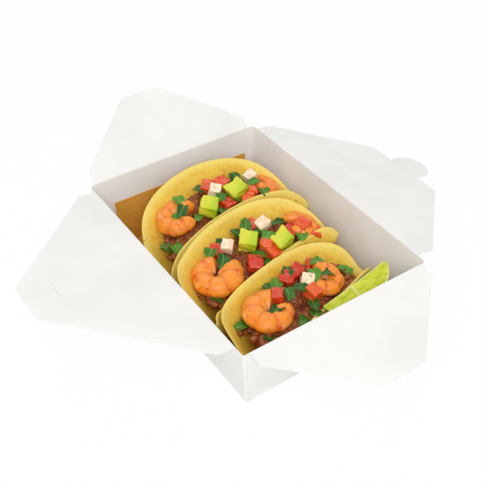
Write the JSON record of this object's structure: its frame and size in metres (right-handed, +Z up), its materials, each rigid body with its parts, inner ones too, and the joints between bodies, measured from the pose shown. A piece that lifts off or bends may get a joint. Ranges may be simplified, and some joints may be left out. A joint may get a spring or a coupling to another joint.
{
  "type": "takeout food box",
  "caption": "Folded white paperboard takeout box, open, with hinged lid flaps, a round locking tab, a kraft liner and filled tacos inside.",
  "frame": {"origin": "centre of the tray's bottom face, on the table", "axes": "+X along the box's long side, +Y across it towards the locking flap, +Z up"},
  "size_m": [0.3382, 0.3603, 0.0936],
  "materials": {
    "white_card": "smooth uncoated white",
    "kraft_card": "brown kraft, slightly shiny with grease",
    "corn_tortilla": "matt, toasted specks",
    "ground_meat": "crumbly, oily",
    "cooked_shrimp": "moist",
    "tomato": "wet",
    "onion": "wet, translucent",
    "avocado": "soft",
    "herb": "leafy",
    "lime": "juicy flesh and waxy rind"
  },
  "bodies": {
    "box": {"tray": "white_card", "kraft_liner": "kraft_card", "tortilla_1": "corn_tortilla", "meat_filling_1": "ground_meat", "shrimp_1": "cooked_shrimp", "tomato_dice_1": "tomato", "onion_dice_1": "onion", "avocado_dice_1": "avocado", "herb_leaves_1": "herb", "tortilla_2": "corn_tortilla", "meat_filling_2": "ground_meat", "shrimp_2": "cooked_shrimp", "tomato_dice_2": "tomato", "onion_dice_2": "onion", "avocado_dice_2": "avocado", "herb_leaves_2": "herb", "tortilla_3": "corn_tortilla", "meat_filling_3": "ground_meat", "shrimp_3": "cooked_shrimp", "tomato_dice_3": "tomato", "onion_dice_3": "onion", "herb_leaves_3": "herb", "lime_wedge": "lime"},
    "rear_end_flap": {"rear_end_flap": "white_card"},
    "front_end_flap": {"front_end_flap": "white_card"},
    "plain_side_flap": {"plain_side_flap": "white_card"},
    "locking_side_flap": {"locking_side_flap": "white_card"}
  },
  "joints": [
    {"name": "rear_end_fold", "type": "hinge", "parent": "box", "child": "rear_end_flap", "pos_m": [-0.10795, 0, 0.0629], "axis": [0, 1, 0], "range_deg": [-73, 152]},
    {"name": "front_end_fold", "type": "hinge", "parent": "box", "child": "front_end_flap", "pos_m": [0.10795, 0, 0.0629], "axis": [0, -1, 0], "range_deg": [-39.3, 185.7]},
    {"name": "plain_side_fold", "type": "hinge", "parent": "box", "child": "plain_side_flap", "pos_m": [0, -0.07938, 0.0623], "axis": [-1, 0, 0], "range_deg": [-42.7, 172.3]},
    {"name": "locking_side_fold", "type": "hinge", "parent": "box", "child": "locking_side_flap", "pos_m": [0, 0.07938, 0.0635], "axis": [1, 0, 0], "range_deg": [-24.1, 190.9]}
  ]
}
